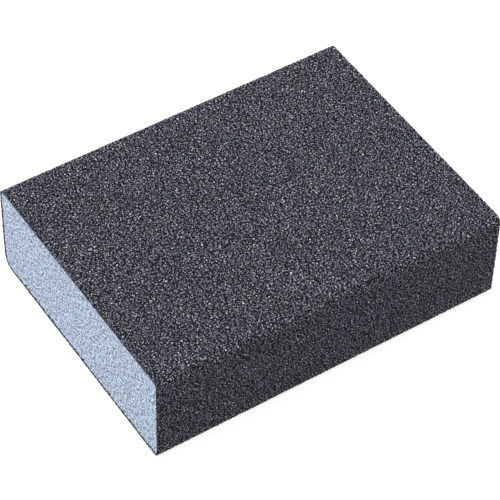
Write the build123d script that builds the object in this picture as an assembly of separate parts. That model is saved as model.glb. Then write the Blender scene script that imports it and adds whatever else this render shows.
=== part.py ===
from build123d import *
import os

# A four-sided foam sanding block. The foam core is coated with abrasive on its top, its
# underside and both long sides, and left bare at its two cut ends. Each coat is a layer of
# cured resin with a layer of mineral grains on it.
#
# Lengths are in millimetres. X runs along the block, Y from its front side to its back
# side, and Z up. The origin is the centre of the underside.

# Driving dimensions
BLOCK_LENGTH = 100.0
BLOCK_WIDTH = 75.0
BLOCK_HEIGHT = 28.0
EDGE_RADIUS = 2.0  # of three long edges
SOFT_EDGE_RADIUS = 3.5  # of the fourth, between the underside and the back side
GRIT_THICKNESS = 0.24  # the abrasive grains, as far as they stand out of the resin
BOND_THICKNESS = 0.41  # the resin that holds them on the foam

# Worked out from those
COAT_THICKNESS = GRIT_THICKNESS + BOND_THICKNESS
SEAM_REACH = 2 * SOFT_EDGE_RADIUS  # from a corner's centre to well outside the block

# Each long edge of the block: which side of the width and height it is on, and its radius
FRONT, BACK = -1, 1
BOTTOM, TOP = -1, 1
LONG_EDGES = {
    "front_bottom": (FRONT, BOTTOM, EDGE_RADIUS),
    "back_bottom": (BACK, BOTTOM, SOFT_EDGE_RADIUS),
    "back_top": (BACK, TOP, EDGE_RADIUS),
    "front_top": (FRONT, TOP, EDGE_RADIUS),
}

# Each coated side, and the two long edges where its coats meet its neighbours' coats
COATED_SIDES = {
    "bottom": ("front_bottom", "back_bottom"),
    "back": ("back_bottom", "back_top"),
    "top": ("back_top", "front_top"),
    "front": ("front_top", "front_bottom"),
}


def rounding_centre(edge):
    """Centre of a long edge's rounding, as (y, z) in the cross-section."""
    y_side, z_side, radius = LONG_EDGES[edge]
    y = y_side * (BLOCK_WIDTH / 2 - radius)
    z = BLOCK_HEIGHT / 2 + z_side * (BLOCK_HEIGHT / 2 - radius)
    return y, z


def cross_section(inset):
    """The block's outline, seen along X, moved inwards by inset all round."""
    quarter_turn = 90
    first_angle = 2 * quarter_turn  # the front bottom rounding starts by facing the front
    arcs = []
    for turn, edge in enumerate(LONG_EDGES):
        radius = LONG_EDGES[edge][2] - inset
        start = first_angle + turn * quarter_turn
        arcs.append(CenterArc(rounding_centre(edge), radius, start, quarter_turn))
    flats = [Line(arc @ 1, following @ 0) for arc, following in zip(arcs, arcs[1:] + arcs[:1])]
    return make_face(Curve() + arcs + flats)


def side_wedge(side):
    """The part of the cross-section that belongs to one side, between the middles of its roundings."""
    outer_corners = []
    centres = []
    for edge in COATED_SIDES[side]:
        y_side, z_side, _ = LONG_EDGES[edge]
        y, z = rounding_centre(edge)
        centres.append((y, z))
        outer_corners.append((y + y_side * SEAM_REACH, z + z_side * SEAM_REACH))
    loop = [centres[0], outer_corners[0], outer_corners[1], centres[1]]
    return make_face(Polyline(*loop, close=True))


def full_length(section):
    """A section of the block, drawn in the YZ plane, as a solid from end to end."""
    end_plane = Plane.YZ.offset(-BLOCK_LENGTH / 2)
    return extrude(end_plane * section, BLOCK_LENGTH)


def coat_layer(side, outer_inset, inner_inset):
    """One layer of one side's coat, between two depths below the block's surface."""
    all_round = cross_section(outer_inset) - cross_section(inner_inset)
    return full_length(all_round & side_wedge(side))


def foam_core():
    """The flexible foam, as wide and high as the block less its coats."""
    return full_length(cross_section(COAT_THICKNESS))


def bond_coat(side):
    """The cured resin on the foam, which holds one side's grains."""
    return coat_layer(side, GRIT_THICKNESS, COAT_THICKNESS)


def grit_coat(side):
    """The layer of abrasive grains on one side, out to the block's surface."""
    return coat_layer(side, 0, GRIT_THICKNESS)


parts = {"foam_core": foam_core()}
for side in COATED_SIDES:
    parts[f"bond_coat_{side}"] = bond_coat(side)
    parts[f"grit_coat_{side}"] = grit_coat(side)

os.makedirs("parts", exist_ok=True)
for name, part in parts.items():
    export_step(part, f"parts/{name}.step")
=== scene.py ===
"""Looks of the four-sided foam sanding block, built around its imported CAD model.

The CAD model gives every place and size. The smooth stand-in of the foam core gives way to foam with
real cut cells at both ends, and the smooth grit coats to separate mineral grains, each a closed
crystal half sunk in the resin. The resin coats are the CAD model's own.
"""

import itertools
import math

import bmesh
import bpy
import numpy as np
from mathutils import Matrix, Vector


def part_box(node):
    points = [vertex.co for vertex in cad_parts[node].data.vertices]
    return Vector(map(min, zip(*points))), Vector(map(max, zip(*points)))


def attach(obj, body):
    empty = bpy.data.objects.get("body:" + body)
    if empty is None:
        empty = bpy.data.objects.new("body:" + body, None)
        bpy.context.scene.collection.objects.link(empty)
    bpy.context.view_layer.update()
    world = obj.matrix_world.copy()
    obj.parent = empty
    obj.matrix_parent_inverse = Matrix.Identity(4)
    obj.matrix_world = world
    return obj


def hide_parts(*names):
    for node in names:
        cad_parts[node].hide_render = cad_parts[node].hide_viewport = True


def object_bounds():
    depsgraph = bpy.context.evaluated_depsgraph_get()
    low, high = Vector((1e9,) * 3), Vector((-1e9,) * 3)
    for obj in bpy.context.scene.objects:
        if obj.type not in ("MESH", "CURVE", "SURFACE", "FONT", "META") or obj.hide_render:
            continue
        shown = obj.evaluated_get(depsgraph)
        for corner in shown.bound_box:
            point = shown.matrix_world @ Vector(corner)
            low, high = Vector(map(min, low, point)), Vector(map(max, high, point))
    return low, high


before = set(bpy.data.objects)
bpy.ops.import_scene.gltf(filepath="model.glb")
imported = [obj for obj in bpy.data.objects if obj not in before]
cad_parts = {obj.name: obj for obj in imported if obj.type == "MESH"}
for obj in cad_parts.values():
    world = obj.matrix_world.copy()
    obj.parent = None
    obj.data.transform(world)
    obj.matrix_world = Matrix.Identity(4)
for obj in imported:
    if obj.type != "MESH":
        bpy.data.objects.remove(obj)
cad_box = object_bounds()

MM = 0.001

# The block's rounded long edges and its coat, as in the CAD model
EDGE_RADIUS = 2.0 * MM
SOFT_EDGE_RADIUS = 3.5 * MM
GRIT_THICKNESS = 0.24 * MM
COAT_THICKNESS = 0.65 * MM

# Length of the slow waves that keep rows of cells and grains from running straight
SWAY_LENGTH = 7.3 * MM

# The mesh of the foam's cut ends and of the walls between them
FOAM_SEED = 11
FOAM_GRID = 0.22 * MM
GRID_JITTER = 0.3  # of the grid
WALL_ROWS = 6
SHARP_ANGLE = math.radians(60)

# Foam cells: a cell's centre and its radius are shares of the pitch
CELL_PITCH = 0.56 * MM
CELL_DEPTH = 0.26 * MM
CELL_CENTRE = (0.25, 0.75)
CELL_RADIUS = (0.50, 0.72)
SPARE_CELLS_BEFORE = 3
SPARE_CELLS_AFTER = 4
PORE_PITCH = 0.50 * MM

# How far resin soaked into the foam beside the coat, and how far the foam is darker along the
# underside
SOAK_DEPTH = 0.07 * MM
UNDERSIDE_BAND_DEPTH = 0.30 * MM

# Grains: their crystal shapes, and how big, how stretched and how far out of the resin each one is
GRAIN_SEED = 5
GRAIN_SHAPES = 24
GRAIN_CORNERS = 6
CORNER_TRIES = 6
GRAIN_STRETCH = (0.75, 1.15)
GRAIN_RADIUS = (0.46, 0.76)  # of the pitch
GRAIN_HEIGHT = (0.35, 1.0)  # its square root is a share of the grit's thickness

# Where the grains are, on the sides and in a row along each cut end
GRAIN_PITCH = 0.42 * MM
GRAIN_JITTER = 0.32  # of the pitch
GRAIN_OVERHANG = 0.14 * MM
SPARE_ROWS = 3
END_PITCH = 0.30 * MM
END_PLACE = (0.1, 0.9)  # of the pitch
END_JITTER = 0.1 * MM

# Tones of the grains: the share that is dark, half the width of the step from those to the lighter
# ones, and how far up the grains along a cut end reach, as a multiple of the dark share
DARK_SHARE = 0.40
DARK_STEP = 0.05
END_PICK_RANGE = 1.5

# The pieces that the grains are in: columns of tiles along the block, then, for each side, in how
# many batches along the block its grains are made, and its rows of tiles from edge to edge
TILE_COLUMNS = 4
TILE_LAYOUT = {"top": (2, 4), "bottom": (2, 4), "front": (1, 2), "back": (1, 2)}

# The camera, around a point near the block's centre
CAMERA_AZIMUTH = -34.22
CAMERA_ELEVATION = 47.86
CAMERA_ROLL = 1.6
CAMERA_DISTANCE = 614.2 * MM
CAMERA_FIELD = 11.713
CAMERA_AIM = Vector((-1.39, -2.80, 0.0)) * MM

# Strengths of the light from overhead and of the table's own glow, and the further glow that only
# the camera sees
OVERHEAD_LIGHT = 3.5
TABLE_LIGHT = 0.25
TABLE_WHITENESS = 0.56
TABLE_HALF_WIDTH = 3.0

low, high = (Vector(corner) for corner in cad_box)
LENGTH, WIDTH, HEIGHT = high - low
centre = (low + high) / 2

FRONT, BACK, BOTTOM, TOP = "front", "back", "bottom", "top"

# Each long edge of the block: where it is, as the signs of Y and Z, and its radius
LONG_EDGES = {
    (FRONT, BOTTOM): (-1, -1, EDGE_RADIUS),
    (BACK, BOTTOM): (1, -1, SOFT_EDGE_RADIUS),
    (BACK, TOP): (1, 1, EDGE_RADIUS),
    (FRONT, TOP): (-1, 1, EDGE_RADIUS),
}

# Each coated side: its outward direction as (y, z), and the long edges that it runs between
SIDES = {
    "bottom": ((0, -1), (FRONT, BOTTOM), (BACK, BOTTOM)),
    "back": ((1, 0), (BACK, BOTTOM), (BACK, TOP)),
    "top": ((0, 1), (BACK, TOP), (FRONT, TOP)),
    "front": ((-1, 0), (FRONT, TOP), (FRONT, BOTTOM)),
}


def rounding(edge, inset):
    """Centre of a long edge's rounding as (y, z), and its radius at a depth of inset."""
    y_side, z_side, radius = LONG_EDGES[edge]
    y = centre.y + y_side * (WIDTH / 2 - radius)
    z = centre.z + z_side * (HEIGHT / 2 - radius)
    return np.array((y, z)), radius - inset


def side_width(side, inset):
    """How far one side reaches around the block, from the middle of one rounding to the next."""
    _, first, last = SIDES[side]
    (start, start_radius), (end, end_radius) = rounding(first, inset), rounding(last, inset)
    flat = np.abs(end - start).max()
    return flat + (start_radius + end_radius) * math.pi / 4


def on_side(side, around, inset):
    """Points of one side at a depth of inset, and the outward directions there, as (y, z)."""
    outward, first, last = SIDES[side]
    outward = np.array(outward, float)
    tangent = np.array((-outward[1], outward[0]))
    (start, start_radius), (end, end_radius) = rounding(first, inset), rounding(last, inset)
    flat = (end - start) @ tangent
    first_arc = start_radius * math.pi / 4
    past_first = around - first_arc
    past_flat = past_first - flat
    angle = np.where(past_first < 0, past_first / start_radius, 0.0)
    angle = np.where(past_flat > 0, past_flat / end_radius, angle)
    normal = np.cos(angle)[:, None] * outward + np.sin(angle)[:, None] * tangent
    radius = np.where(past_flat > 0, end_radius, start_radius)
    hub = np.where((past_flat > 0)[:, None], end, start)
    along = np.clip(past_first, 0, flat)
    along = np.where(past_flat > 0, 0.0, along)
    return hub + radius[:, None] * normal + along[:, None] * tangent, normal


def mesh_object(name, points, faces, smooth):
    """A mesh object from arrays of points and of faces that all have as many corners."""
    mesh = bpy.data.meshes.new(name)
    corners = faces.shape[1]
    mesh.vertices.add(len(points))
    mesh.vertices.foreach_set("co", points.astype(np.float32).ravel())
    mesh.loops.add(faces.size)
    mesh.loops.foreach_set("vertex_index", faces.astype(np.int32).ravel())
    mesh.polygons.add(len(faces))
    mesh.polygons.foreach_set("loop_start", np.arange(0, faces.size, corners, dtype=np.int32))
    mesh.polygons.foreach_set("use_smooth", np.full(len(faces), smooth))
    mesh.update(calc_edges=True)
    mesh.validate()
    made = bpy.data.objects.new(name, mesh)
    bpy.context.scene.collection.objects.link(made)
    return made


def store(piece, name, values):
    """Keeps one number for each point of a piece, for its material to read."""
    attribute = piece.data.attributes.new(name, "FLOAT", "POINT")
    attribute.data.foreach_set("value", values.astype(np.float32))


def swayed(places, reach):
    """Places moved a little in slow waves, so that rows of them don't run straight."""
    return places + reach * np.sin(math.tau * places[:, ::-1] / SWAY_LENGTH)


def varied_picks(columns, rows, dice):
    """A number from 0 up to 1 for each place in a grid, seldom like those of its neighbours."""
    picks = dice.random((columns, rows))
    steps = [step for step in itertools.product((-1, 0, 1), repeat=2) if any(step)]
    around = sum(np.roll(picks, step, (0, 1)) for step in steps) / len(steps)
    order = (picks - around).ravel().argsort()
    ranks = np.empty(len(order))
    ranks[order] = np.arange(len(order)) / len(order)
    return ranks


# Foam


def rounded_end(grid):
    """Moves the corners of a rectangle of points in onto the foam's rounded outline."""
    moved = grid.copy()
    for edge in LONG_EDGES:
        hub, radius = rounding(edge, COAT_THICKNESS)
        signs = np.array(LONG_EDGES[edge][:2])
        reach = (grid - hub) * signs / radius
        inside = (reach > 0).all(axis=1)
        a, b = reach[inside].T
        disc = np.stack((a * np.sqrt(1 - b * b / 2), b * np.sqrt(1 - a * a / 2)), axis=1)
        moved[inside] = hub + signs * radius * disc
    return moved


def cell_depths(points, dice):
    """How deep the cut cells are at points of a foam end, from 0 at a wall to 1."""
    first = points.min(axis=0) - SPARE_CELLS_BEFORE * CELL_PITCH
    spanned = np.ceil((points.max(axis=0) - first) / CELL_PITCH).astype(int)
    columns, rows = spanned + SPARE_CELLS_AFTER
    shape = (columns, rows)
    hubs = dice.uniform(*CELL_CENTRE, (*shape, 2))
    radius = dice.uniform(*CELL_RADIUS, shape)
    deepest = varied_picks(columns, rows, dice).reshape(shape)
    places = swayed(points, CELL_PITCH)
    cell = np.floor((places - first) / CELL_PITCH).astype(int)
    depth = np.zeros(len(points))
    for column_step in (-1, 0, 1):
        for row_step in (-1, 0, 1):
            column = cell[:, 0] + column_step
            row = cell[:, 1] + row_step
            hub = first + (np.stack((column, row), axis=1) + hubs[column, row]) * CELL_PITCH
            away = np.linalg.norm(places - hub, axis=1) / (radius[column, row] * CELL_PITCH)
            cup = deepest[column, row] * np.sqrt(np.clip(1 - away**2, 0, None))
            depth = np.maximum(depth, cup)
    return depth


def soak_distance(points):
    """How far points of a foam end are from the coat, in units of how deep the foam is darkened
    there.

    Resin soaked into the foam beside the coat, and the darkening reaches deepest along the underside.
    """
    reach = np.abs(points - np.array((centre.y, centre.z)))
    half = np.array((WIDTH, HEIGHT)) / 2 - COAT_THICKNESS
    distance = (half - reach).min(axis=1)
    for edge in LONG_EDGES:
        hub, radius = rounding(edge, COAT_THICKNESS)
        signs = np.array(LONG_EDGES[edge][:2])
        inside = ((points - hub) * signs > 0).all(axis=1)
        distance[inside] = radius - np.linalg.norm(points[inside] - hub, axis=1)
    lowness = np.clip(1 - (points[:, 1] - low.z) / EDGE_RADIUS, 0, 1)
    return distance / (SOAK_DEPTH + lowness * (UNDERSIDE_BAND_DEPTH - SOAK_DEPTH))


def foam_end(x_side, dice):
    """One cut end of the foam: its points, how deep in a cell each is, and its columns and rows."""
    box_low, box_high = (np.array(corner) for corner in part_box("foam_core"))
    columns = round((box_high[1] - box_low[1]) / FOAM_GRID) + 1
    rows = round((box_high[2] - box_low[2]) / FOAM_GRID) + 1
    ys = np.linspace(box_low[1], box_high[1], columns)
    zs = np.linspace(box_low[2], box_high[2], rows)
    square = np.stack(np.meshgrid(ys, zs, indexing="ij"), axis=-1)
    shift = dice.uniform(-GRID_JITTER, GRID_JITTER, square.shape) * FOAM_GRID
    shift[[0, -1], :] = 0
    shift[:, [0, -1]] = 0
    flat = rounded_end((square + shift).reshape(-1, 2))
    depth = cell_depths(flat, dice).reshape(columns, rows)
    depth[[0, -1], :] = 0
    depth[:, [0, -1]] = 0
    end = box_high[0] if x_side > 0 else box_low[0]
    depth = depth.ravel()
    xs = end - x_side * CELL_DEPTH * depth
    return np.column_stack((xs, flat)), depth, columns, rows


def end_faces(columns, rows, first, flip):
    """The squares of one foam end, turned outwards."""
    number = first + np.arange(columns * rows).reshape(columns, rows)
    square_corners = (number[:-1, :-1], number[1:, :-1], number[1:, 1:], number[:-1, 1:])
    squares = np.stack(square_corners, axis=-1).reshape(-1, 4)
    return squares[:, ::-1] if flip else squares


def rim(columns, rows):
    """The numbers of the points around a foam end's edge, in order."""
    number = np.arange(columns * rows).reshape(columns, rows)
    return np.concatenate((number[:-1, 0], number[-1, :-1], number[:0:-1, -1], number[0, :0:-1]))


def foam_core():
    """The foam as one closed mesh, with cut cells at both ends and smooth walls between."""
    dice = np.random.default_rng(FOAM_SEED)
    left, left_depth, columns, rows = foam_end(-1, dice)
    right, right_depth, _, _ = foam_end(1, dice)
    loop = rim(columns, rows)
    shares = np.linspace(0, 1, WALL_ROWS + 1)[1:-1]
    between = [left[loop] + share * (right[loop] - left[loop]) for share in shares]
    points = np.concatenate((left, right, *between))
    ends = [
        end_faces(columns, rows, 0, flip=True),
        end_faces(columns, rows, len(left), flip=False),
    ]
    starts = [len(left) + len(right) + step * len(loop) for step in range(len(between))]
    rings = [loop, *(start + np.arange(len(loop)) for start in starts), len(left) + loop]
    walls = [
        np.stack((near, np.roll(near, -1), np.roll(far, -1), far), axis=1)
        for near, far in zip(rings, rings[1:])
    ]
    core = mesh_object("foam_block", points, np.concatenate((*ends, *walls)), smooth=True)
    core.data.set_sharp_from_angle(angle=SHARP_ANGLE)
    walls_depth = np.zeros(len(points) - len(left) - len(right))
    store(core, "cell_depth", np.concatenate((left_depth, right_depth, walls_depth)))
    store(core, "soak_distance", soak_distance(points[:, 1:]))
    return core


# Grains


def spread_directions(count, dice):
    """Directions spread unevenly over a sphere, each the loneliest of a few tries."""
    found = []
    while len(found) < count:
        tries = dice.normal(size=(CORNER_TRIES, 3))
        tries /= np.linalg.norm(tries, axis=1)[:, None]
        if not found:
            found.append(tries[0])
            continue
        nearest = (tries @ np.array(found).T).max(axis=1)
        found.append(tries[nearest.argmin()])
    return np.array(found)


def crystal(dice):
    """One irregular crystal of unit size: its corners and its triangles."""
    shape = bmesh.new()
    for direction in spread_directions(GRAIN_CORNERS, dice):
        shape.verts.new(direction)
    bmesh.ops.convex_hull(shape, input=shape.verts)
    shape.verts.index_update()
    corners = np.array([vertex.co[:] for vertex in shape.verts])
    triangles = np.array([[vertex.index for vertex in face.verts] for face in shape.faces])
    shape.free()
    outward = np.cross(
        corners[triangles[:, 1]] - corners[triangles[:, 0]],
        corners[triangles[:, 2]] - corners[triangles[:, 0]],
    )
    inward = np.einsum("ij,ij->i", outward, corners[triangles].mean(axis=1)) < 0
    triangles[inward] = triangles[inward][:, ::-1]
    return corners, triangles


def random_turns(count, dice):
    """Evenly random rotation matrices."""
    w, x, y, z = dice.normal(size=(4, count))
    size = np.sqrt(w * w + x * x + y * y + z * z)
    w, x, y, z = w / size, x / size, y / size, z / size
    rows = (
        (1 - 2 * (y * y + z * z), 2 * (x * y - z * w), 2 * (x * z + y * w)),
        (2 * (x * y + z * w), 1 - 2 * (x * x + z * z), 2 * (y * z - x * w)),
        (2 * (x * z - y * w), 2 * (y * z + x * w), 1 - 2 * (x * x + y * y)),
    )
    return np.moveaxis(np.array(rows), 2, 0)


def grain_sites(length, width, dice):
    """Uneven places for grains on a rectangle, as (x, around), and a pick for each one's tone."""
    row_pitch = GRAIN_PITCH * math.sqrt(3) / 2
    columns = int(length / GRAIN_PITCH) + 2 * SPARE_ROWS
    rows = int(width / row_pitch) + 2 * SPARE_ROWS
    column, row = np.meshgrid(np.arange(columns), np.arange(rows), indexing="ij")
    x = (column - SPARE_ROWS + 0.5 * (row % 2)) * GRAIN_PITCH
    around = (row - SPARE_ROWS) * row_pitch
    sites = swayed(np.stack((x.ravel(), around.ravel()), axis=1), GRAIN_PITCH)
    sites += dice.uniform(-GRAIN_JITTER, GRAIN_JITTER, sites.shape) * GRAIN_PITCH
    inside = ((sites >= 0) & (sites <= (length, width))).all(axis=1)
    return sites[inside], varied_picks(columns, rows, dice)[inside]


def end_row(x, width, dice):
    """A close row of broken grains along a cut end, as (x, around)."""
    count = round(width / END_PITCH)
    around = (np.arange(count) + dice.uniform(*END_PLACE, count)) * END_PITCH
    lengthwise = x + dice.uniform(-END_JITTER, END_JITTER, count)
    return np.column_stack((lengthwise, np.minimum(around, width)))


def grain_batch(side, x_from, x_to, shapes, dice):
    """The grains of one side between two places along the block.

    They come as their sites, their corners, their triangles and the picks for their tones.
    """
    width = side_width(side, GRIT_THICKNESS)
    sites, picks = grain_sites(x_to - x_from, width, dice)
    cut_ends = [end_row(x, width, dice) for x in (x_from, x_to) if x in (low.x, high.x)]
    sites = np.concatenate((sites + (x_from, 0), *cut_ends))
    bed, normal = on_side(side, sites[:, 1], GRIT_THICKNESS)
    count = len(sites)
    out = np.column_stack((np.zeros(count), normal))
    around = np.column_stack((np.zeros(count), -normal[:, 1], normal[:, 0]))
    lengthwise = np.tile((1.0, 0.0, 0.0), (count, 1))
    stance = np.stack((lengthwise, around, out), axis=2)
    radius = dice.uniform(*GRAIN_RADIUS, count) * GRAIN_PITCH
    stretch = dice.uniform(*GRAIN_STRETCH, (count, 3))
    which = dice.integers(len(shapes), size=count)
    shape_corners, shape_triangles = (np.array(part) for part in zip(*shapes))
    turns = random_turns(count, dice)
    corners = np.einsum("nij,nkj->nki", turns, shape_corners[which])
    corners = corners * (radius[:, None] * stretch)[:, None, :]
    top = corners[:, :, 2].max(axis=1)
    height = np.sqrt(dice.uniform(*GRAIN_HEIGHT, count)) * GRIT_THICKNESS
    corners[:, :, 2] += (height - top)[:, None]
    place = np.column_stack((sites[:, 0], bed))
    points = np.einsum("nij,nkj->nki", stance, corners) + place[:, None, :]
    ends = (low.x - GRAIN_OVERHANG, high.x + GRAIN_OVERHANG)
    points[:, :, 0] = np.clip(points[:, :, 0], *ends)
    end_picks = dice.random(count - len(picks)) * DARK_SHARE * END_PICK_RANGE
    return sites, points, shape_triangles[which], np.concatenate((picks, end_picks))


def tile_numbers(sites, width, tile_rows):
    """Which tile of a side each grain belongs to, from its place along and around the block."""
    column = (sites[:, 0] - low.x) / LENGTH * TILE_COLUMNS
    row = sites[:, 1] / width * tile_rows
    column = np.clip(column, 0, TILE_COLUMNS - 1).astype(int)
    row = np.clip(row, 0, tile_rows - 1).astype(int)
    return column * tile_rows + row


def grain_tile(name, points, triangles, tones):
    """The grains of one tile as one mesh, each a separate closed crystal."""
    first_corners = np.arange(len(points)) * GRAIN_CORNERS
    faces = triangles + first_corners[:, None, None]
    made = mesh_object(name, points.reshape(-1, 3), faces.reshape(-1, 3), smooth=False)
    store(made, "tone", np.repeat(tones, GRAIN_CORNERS))
    return made


def grit():
    """All the grains, with each side in tiles.

    An export bakes one image of colours for each piece, so a piece can't have too many grains.
    """
    dice = np.random.default_rng(GRAIN_SEED)
    shapes = [crystal(dice) for _ in range(GRAIN_SHAPES)]
    made = []
    for side, (batch_count, tile_rows) in TILE_LAYOUT.items():
        bounds = np.linspace(low.x, high.x, batch_count + 1)
        spans = zip(bounds, bounds[1:])
        batches = [grain_batch(side, x_from, x_to, shapes, dice) for x_from, x_to in spans]
        sites, points, triangles, tones = (np.concatenate(part) for part in zip(*batches))
        tile = tile_numbers(sites, side_width(side, GRIT_THICKNESS), tile_rows)
        for number in range(TILE_COLUMNS * tile_rows):
            mine = tile == number
            name = f"grains_{side}_{number + 1}"
            made.append((side, grain_tile(name, points[mine], triangles[mine], tones[mine])))
    return made


# Materials


def new_material(name):
    """A new material, with its Principled shader and its node tree."""
    made = bpy.data.materials.new(name)
    made.use_nodes = True
    return made, made.node_tree.nodes["Principled BSDF"], made.node_tree


def add_node(tree, kind, settings=(), **inputs):
    """A node with its settings, and its inputs as numbers or links, with _ for a space in a name."""
    node = tree.nodes.new("ShaderNode" + kind)
    for name, value in settings:
        setattr(node, name, value)
    for name, value in inputs.items():
        socket = node.inputs[name.replace("_", " ")]
        if isinstance(value, bpy.types.NodeSocket):
            tree.links.new(value, socket)
        else:
            socket.default_value = value
    return node


def combine(tree, operation, *values):
    """Colours or numbers put together by a vector operation, channel by channel."""
    node = tree.nodes.new("ShaderNodeVectorMath")
    node.operation = operation
    for socket, value in zip(node.inputs, values):
        if isinstance(value, bpy.types.NodeSocket):
            tree.links.new(value, socket)
        else:
            socket.default_value = (value, value, value)
    return node.outputs["Vector"]


def colour_ramp(tree, source, stops):
    """A colour ramp over source, with stops as (place, colour) or (place, grey)."""
    node = tree.nodes.new("ShaderNodeValToRGB")
    ramp = node.color_ramp
    while len(ramp.elements) < len(stops):
        ramp.elements.new(0.5)
    for element, (place, colour) in zip(ramp.elements, stops):
        channels = colour if isinstance(colour, tuple) else (colour, colour, colour)
        element.position = place
        element.color = (*channels, 1.0)
    tree.links.new(source, node.inputs["Fac"])
    return node.outputs["Color"]


def in_object(tree):
    """Coordinates that stay with the object, in metres."""
    return add_node(tree, "TexCoord").outputs["Object"]


def noise(tree, size, detail=2.0, roughness=0.5):
    """Noise over the object, from 0 to 1, in lumps of about the given size."""
    node = add_node(
        tree, "TexNoise", Vector=in_object(tree), Scale=1 / size, Detail=detail, Roughness=roughness
    )
    return node.outputs["Fac"]


def add_bump(tree, shader, height, distance, strength):
    """Bumps on a surface, from the height that drives them."""
    bump = add_node(tree, "Bump", Height=height, Distance=distance, Strength=strength)
    tree.links.new(bump.outputs["Normal"], shader.inputs["Normal"])


# Grains: the darkest are deep blue-black, the lightest almost neutral
GRAIN_TONES = (
    (0.00, (0.005, 0.005, 0.009)),
    (DARK_SHARE - DARK_STEP, (0.020, 0.0205, 0.033)),
    (DARK_SHARE + DARK_STEP, (0.086, 0.088, 0.115)),
    (0.75, (0.153, 0.156, 0.186)),
    (0.95, (0.275, 0.278, 0.308)),
    (1.00, (0.470, 0.473, 0.507)),
)
GRAIN_TINTS = (
    (0.0, (1.08, 0.99, 0.94)),
    (0.5, (1.00, 1.00, 1.02)),
    (1.0, (0.94, 1.00, 1.08)),
)
GRAIN_WEAR = ((0.3, (1.02, 0.97, 0.89)), (0.7, (0.98, 1.03, 1.10)))


def grain_material():
    """Dark crushed mineral with glassy facets, each grain with its own tone, tint and polish."""
    made, shader, tree = new_material("grit_mineral")
    pick = add_node(tree, "Attribute", [("attribute_name", "tone")]).outputs["Fac"]
    tone = colour_ramp(tree, pick, GRAIN_TONES)
    island = add_node(tree, "NewGeometry").outputs["Random Per Island"]
    other_pick = add_node(tree, "TexWhiteNoise", [("noise_dimensions", "1D")], W=island)
    tint = colour_ramp(tree, other_pick.outputs["Value"], GRAIN_TINTS)
    flaws = noise(tree, 0.15 * MM, detail=3.0)
    patches = noise(tree, 4.0 * MM, detail=3.0)
    cloudy = colour_ramp(tree, flaws, ((0.3, 0.7), (0.7, 1.3)))
    worn = colour_ramp(tree, patches, GRAIN_WEAR)
    colour = combine(tree, "MULTIPLY", combine(tree, "MULTIPLY", tone, tint), cloudy)
    colour = combine(tree, "MULTIPLY", colour, worn)
    tree.links.new(colour, shader.inputs["Base Color"])
    polish = colour_ramp(tree, other_pick.outputs["Color"], ((0.0, 0.18), (1.0, 0.6)))
    tree.links.new(polish, shader.inputs["Roughness"])
    shader.inputs["Specular IOR Level"].default_value = 0.12
    add_bump(tree, shader, flaws, distance=0.03 * MM, strength=0.5)
    return made


RESIN_TONES = ((0.3, (0.003, 0.0031, 0.0062)), (0.7, (0.009, 0.0093, 0.0160)))


def resin_material():
    """Dark cured resin with a low sheen, drawn up between the grains."""
    made, shader, tree = new_material("bond_resin")
    clouds = noise(tree, 0.6 * MM, detail=3.0)
    colour = colour_ramp(tree, clouds, RESIN_TONES)
    tree.links.new(colour, shader.inputs["Base Color"])
    sheen = colour_ramp(tree, clouds, ((0.3, 0.4), (0.7, 0.65)))
    tree.links.new(sheen, shader.inputs["Roughness"])
    shader.inputs["Specular IOR Level"].default_value = 0.05
    pools = add_node(tree, "TexVoronoi", Vector=in_object(tree), Scale=1 / GRAIN_PITCH)
    add_bump(tree, shader, pools.outputs["Distance"], distance=0.12 * MM, strength=0.8)
    return made


# Foam: its mottling, its painted shade, lighter on the walls of the cells and darker down to
# their floors and in the middles of the pores, and the stain beside the coat
FOAM_TONES = (
    (0.34, (0.235, 0.30, 0.408)),
    (0.50, (0.412, 0.50, 0.645)),
    (0.66, (0.605, 0.705, 0.85)),
)
# Painted shade: of the cells by their depth, and of the pores from their middles outwards
PAINTED_CELL_SHADE = ((0.1, (1.46, 1.43, 1.38)), (0.75, (0.285, 0.300, 0.335)))
PAINTED_PORE_SHADE = ((0.14, (0.43, 0.45, 0.50)), (0.38, (1.0, 1.0, 1.0)))
SOAKED_COLOUR = (0.03, 0.035, 0.045)


def foam_material():
    """Pale blue-grey flexible foam with painted shade in its cells and pores, and stained beside the
    coat.
    """
    made, shader, tree = new_material("foam")
    mottling = noise(tree, 0.32 * MM, detail=2.0, roughness=0.6)
    colour = colour_ramp(tree, mottling, FOAM_TONES)
    # Painted shade and light: lighter on the walls of the cells, darker the deeper their floors
    cell = add_node(tree, "Attribute", [("attribute_name", "cell_depth")]).outputs["Fac"]
    colour = combine(tree, "MULTIPLY", colour, colour_ramp(tree, cell, PAINTED_CELL_SHADE))
    # Painted shade, darker in the middles of the pores; it also drives the bumps below
    pores = add_node(tree, "TexVoronoi", Vector=in_object(tree), Scale=1 / PORE_PITCH)
    pore_shade_and_relief = colour_ramp(tree, pores.outputs["Distance"], PAINTED_PORE_SHADE)
    colour = combine(tree, "MULTIPLY", colour, pore_shade_and_relief)
    # Darker beside the coat, where resin soaked in, and in a wider band along the underside
    soak = add_node(tree, "Attribute", [("attribute_name", "soak_distance")]).outputs["Fac"]
    stain = combine(tree, "MULTIPLY_ADD", soak, 0.25, noise(tree, 0.8 * MM, detail=3.0))
    clean = colour_ramp(tree, stain, ((0.60, SOAKED_COLOUR), (0.80, (1.0, 1.0, 1.0))))
    colour = combine(tree, "MULTIPLY", colour, clean)
    tree.links.new(colour, shader.inputs["Base Color"])
    roughness = colour_ramp(tree, mottling, ((0.3, 0.95), (0.7, 0.75)))
    tree.links.new(roughness, shader.inputs["Roughness"])
    relief = combine(tree, "MULTIPLY", mottling, pore_shade_and_relief)
    add_bump(tree, shader, relief, distance=0.20 * MM, strength=0.8)
    return made


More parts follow.
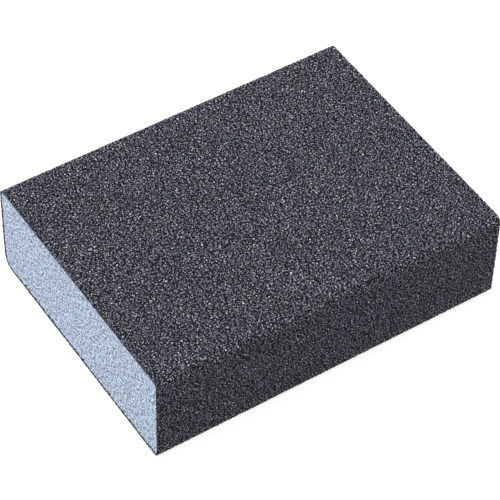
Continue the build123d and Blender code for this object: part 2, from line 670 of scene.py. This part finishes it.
def floor_material():
    """A plain white table that glows, and more so to the camera, so that shadows stay faint."""
    made, shader, tree = new_material("floor")
    shader.inputs["Base Color"].default_value = (0.22, 0.22, 0.22, 1)
    shader.inputs["Roughness"].default_value = 0.9
    shader.inputs["Specular IOR Level"].default_value = 0.0
    shader.inputs["Emission Color"].default_value = (1.0, 1.0, 1.0, 1.0)
    seen = add_node(tree, "LightPath").outputs["Is Camera Ray"]
    glow = combine(tree, "MULTIPLY_ADD", seen, TABLE_WHITENESS, TABLE_LIGHT)
    tree.links.new(glow, shader.inputs["Emission Strength"])
    return made


# Stage, camera and light


def looking(azimuth, elevation, roll, distance, target):
    """The placing of something that looks at target. At azimuth 0 it looks along +Y."""
    turn, rise = math.radians(azimuth), math.radians(elevation)
    back = Vector((math.sin(turn) * math.cos(rise), -math.cos(turn) * math.cos(rise), math.sin(rise)))
    facing = back.to_track_quat("Z", "Y").to_matrix().to_4x4()
    place = Matrix.Translation(target + distance * back)
    return place @ facing @ Matrix.Rotation(math.radians(roll), 4, "Z")


def add_camera():
    """The camera, with a long lens and no blur."""
    lens = bpy.data.cameras.new("camera")
    lens.sensor_fit = "HORIZONTAL"
    lens.angle = math.radians(CAMERA_FIELD)
    lens.clip_start = 0.01
    lens.clip_end = 20.0
    made = bpy.data.objects.new("camera", lens)
    bpy.context.scene.collection.objects.link(made)
    target = centre + CAMERA_AIM
    made.matrix_world = looking(
        CAMERA_AZIMUTH, CAMERA_ELEVATION, CAMERA_ROLL, CAMERA_DISTANCE, target
    )
    bpy.context.scene.camera = made


def add_area_light(name, azimuth, elevation, distance, size, power):
    """A soft square light aimed at the block."""
    lamp = bpy.data.lights.new(name, "AREA")
    lamp.size = size
    lamp.energy = power
    made = bpy.data.objects.new(name, lamp)
    bpy.context.scene.collection.objects.link(made)
    made.matrix_world = looking(azimuth, elevation, 0.0, distance, centre)


def add_surround():
    """Light from overhead, and a plain white background for the camera."""
    world = bpy.data.worlds.new("surround")
    world.use_nodes = True
    tree = world.node_tree
    upwards = add_node(tree, "SeparateXYZ", Vector=add_node(tree, "TexCoord").outputs["Generated"])
    overhead = colour_ramp(tree, upwards.outputs["Z"], ((0.6, 0.0), (1.0, 1.0)))
    overhead = combine(tree, "MULTIPLY", overhead, OVERHEAD_LIGHT)
    seen = add_node(tree, "LightPath").outputs["Is Camera Ray"]
    strength = combine(tree, "MAXIMUM", overhead, seen)
    background = tree.nodes["Background"]
    tree.links.new(strength, background.inputs["Color"])
    bpy.context.scene.world = world


def add_stage():
    """A wide pale floor, a pale surround and soft light."""
    signs = ((-1, -1), (1, -1), (1, 1), (-1, 1))
    corners = np.array([(x * TABLE_HALF_WIDTH, y * TABLE_HALF_WIDTH, low.z) for x, y in signs])
    floor = mesh_object("floor", corners, np.array([[0, 1, 2, 3]]), smooth=False)
    floor.data.materials.append(floor_material())
    add_surround()
    add_area_light("key", azimuth=-115.0, elevation=45.0, distance=1.2, size=0.5, power=12.3)
    add_area_light("fill", azimuth=58.0, elevation=10.0, distance=1.5, size=0.2, power=17.0)
    bpy.context.scene.view_settings.view_transform = "Standard"


# Putting it together

add_camera()
add_stage()

foam = foam_core()
foam.data.materials.append(foam_material())
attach(foam, "root")
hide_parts("foam_core")

mineral = grain_material()
for side, piece in grit():
    piece.data.materials.append(mineral)
    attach(piece, "root")
    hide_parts(f"grit_coat_{side}")

resin = resin_material()
for side in SIDES:
    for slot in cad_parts[f"bond_coat_{side}"].material_slots:
        slot.material = resin
